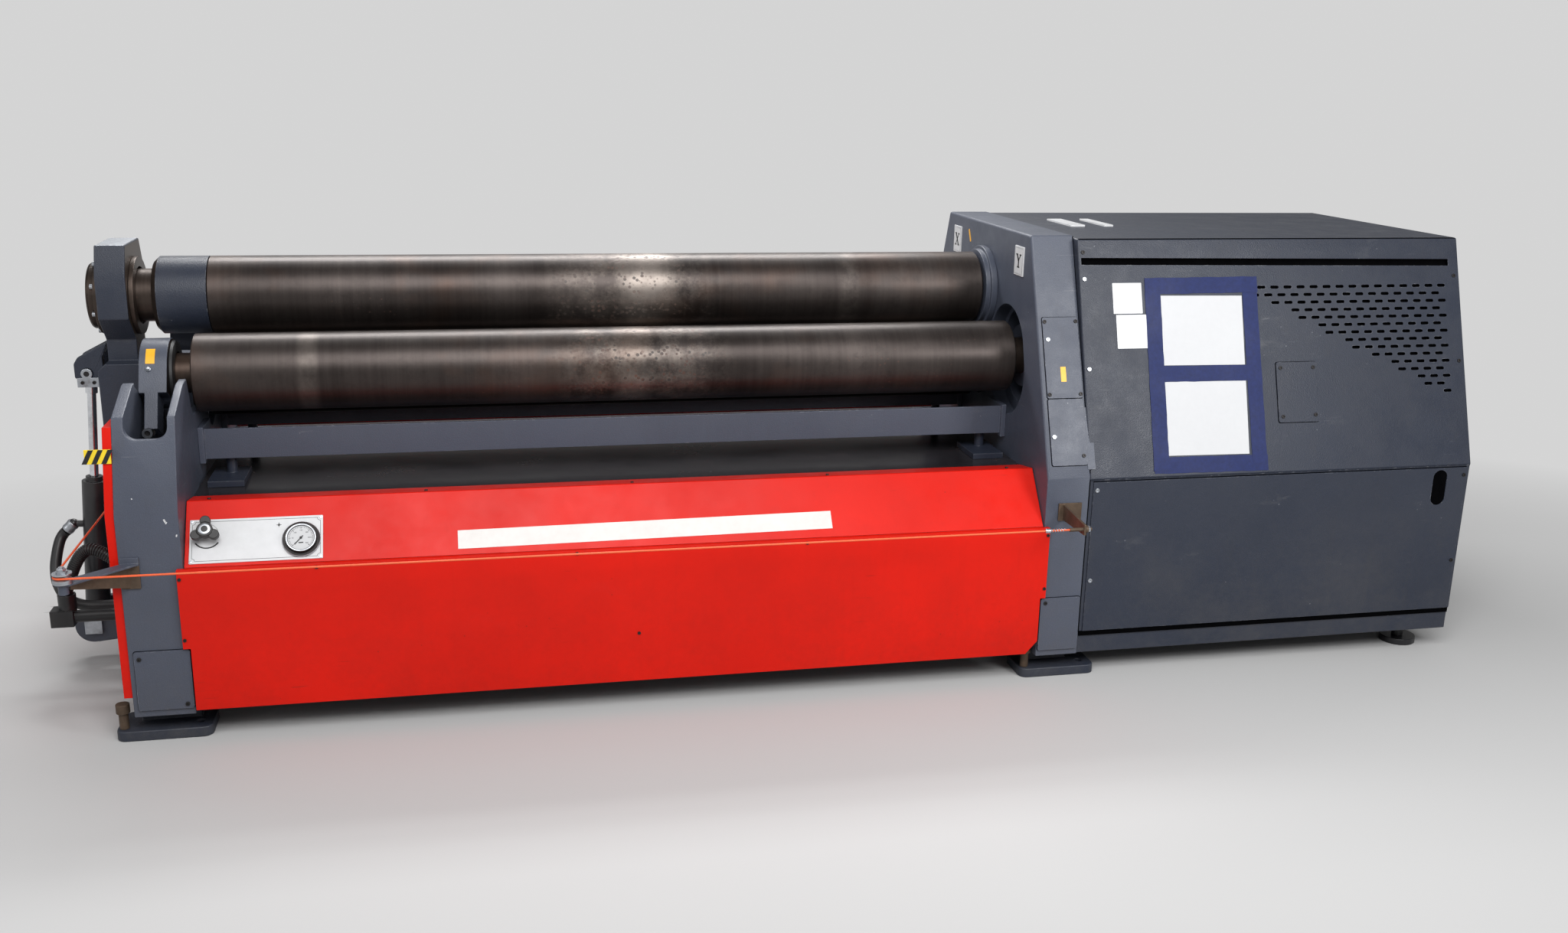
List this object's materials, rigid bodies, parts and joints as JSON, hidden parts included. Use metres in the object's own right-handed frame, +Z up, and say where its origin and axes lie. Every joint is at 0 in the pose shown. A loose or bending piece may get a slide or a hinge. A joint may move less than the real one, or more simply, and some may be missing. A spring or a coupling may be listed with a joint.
{
  "type": "four-roll plate bending machine",
  "caption": "Floor-standing machine that bends sheet metal into curves between a top roll, a pinch roll and side rolls, with a swing-open end bearing and a drive cabinet.",
  "frame": {"origin": "floor level, at the middle of the overall length and of the overall depth", "axes": "+X along the rolls toward the drive cabinet, +Y from the infeed side to the rear, +Z up"},
  "size_m": [3.8529, 1.42, 1.18],
  "materials": {
    "blue_grey_paint": "textured satin",
    "red_paint": "satin",
    "roll_steel": "oiled, mill-marked",
    "machined_steel": "satin",
    "hard_chrome": "polished",
    "black_paint": "satin",
    "black_rubber": "matte",
    "dark_deck": "oily matte",
    "white_plate": "satin",
    "black_plastic": "matte",
    "hazard_yellow": "satin",
    "wire_orange": "satin"
  },
  "bodies": {
    "frame": {"left_frame": "blue_grey_paint", "right_frame": "blue_grey_paint", "roll_flange": "machined_steel", "base_ties": "blue_grey_paint", "frame_feet": "blue_grey_paint", "cabinet_feet": "black_paint", "levelling_bolts": "roll_steel", "frame_pins": "machined_steel", "cylinder_lug": "blue_grey_paint", "cabinet_housing": "blue_grey_paint", "cabinet_panels": "blue_grey_paint", "cabinet_base": "blue_grey_paint", "front_upper_cover": "red_paint", "front_lower_cover": "red_paint", "rear_upper_cover": "red_paint", "rear_lower_cover": "red_paint", "deck_plate": "dark_deck", "front_beam": "blue_grey_paint", "rear_beam": "blue_grey_paint", "beam_supports": "machined_steel", "access_plates": "blue_grey_paint", "control_plate": "white_plate", "pressure_gauge": "black_plastic", "side_covers": "red_paint", "guard_bars": "hazard_yellow", "wire_brackets": "blue_grey_paint", "wire_pulleys": "machined_steel", "trip_wire": "wire_orange", "hydraulic_hose": "black_rubber", "cable_conduit": "black_plastic", "conduit_fittings": "black_plastic"},
    "top_roll": {"top_roll": "roll_steel", "top_roll_end": "blue_grey_paint"},
    "front_slide": {"front_blocks": "blue_grey_paint"},
    "front_roll": {"front_roll": "roll_steel"},
    "rear_slide": {"rear_blocks": "blue_grey_paint"},
    "rear_roll": {"rear_roll": "roll_steel"},
    "bottom_slide": {"bottom_blocks": "blue_grey_paint"},
    "bottom_roll": {"bottom_roll": "roll_steel"},
    "yoke": {"drop_yoke": "blue_grey_paint", "yoke_bearing": "roll_steel", "yoke_pin": "machined_steel"},
    "barrel": {"cylinder_barrel": "black_paint"},
    "rod": {"cylinder_rod": "hard_chrome"},
    "knob": {"star_knob": "black_plastic"}
  },
  "joints": [
    {"name": "top_roll_spin", "type": "hinge", "parent": "frame", "child": "top_roll", "pos_m": [-0.514, 0, 0.996], "axis": [1, 0, 0], "continuous": true},
    {"name": "front_roll_lift", "type": "slide", "parent": "frame", "child": "front_slide", "axis": [0, 0.45, 0.893], "range_m": [-0.035, 0.034]},
    {"name": "front_roll_spin", "type": "hinge", "parent": "front_slide", "child": "front_roll", "pos_m": [-0.514, -0.205, 0.83], "axis": [1, 0, 0], "continuous": true},
    {"name": "rear_roll_lift", "type": "slide", "parent": "frame", "child": "rear_slide", "axis": [0, -0.45, 0.893], "range_m": [-0.035, 0.034]},
    {"name": "rear_roll_spin", "type": "hinge", "parent": "rear_slide", "child": "rear_roll", "pos_m": [-0.514, 0.205, 0.83], "axis": [1, 0, 0], "continuous": true},
    {"name": "bottom_roll_lift", "type": "slide", "parent": "frame", "child": "bottom_slide", "axis": [0, 0, 1], "range_m": [-0.045, 0.018]},
    {"name": "bottom_roll_spin", "type": "hinge", "parent": "bottom_slide", "child": "bottom_roll", "pos_m": [-0.514, 0, 0.775], "axis": [1, 0, 0], "continuous": true},
    {"name": "yoke_hinge", "type": "hinge", "parent": "frame", "child": "yoke", "pos_m": [-1.714, 0, 0.655], "axis": [0, -1, 0], "range_deg": [0, 70]},
    {"name": "barrel_swing", "type": "hinge", "parent": "frame", "child": "barrel", "pos_m": [-1.85, 0, 0.116], "axis": [0, -1, 0], "range_deg": [0, 9.1], "deforming": ["hydraulic_hose"]},
    {"name": "rod_stroke", "type": "slide", "parent": "barrel", "child": "rod", "axis": [0.0685, 0, 0.9977], "range_m": [-0.173, 0]},
    {"name": "knob_turn", "type": "hinge", "parent": "frame", "child": "knob", "pos_m": [-1.463, -0.5148, 0.5019], "axis": [0, -0.7964, 0.6048], "range_deg": [-150, 150]}
  ],
  "couplings": [
    {"joint": "barrel_swing", "follows": "yoke_hinge", "ratio": 0.13},
    {"joint": "rod_stroke", "follows": "yoke_hinge", "m_per_rad": -0.14095}
  ]
}
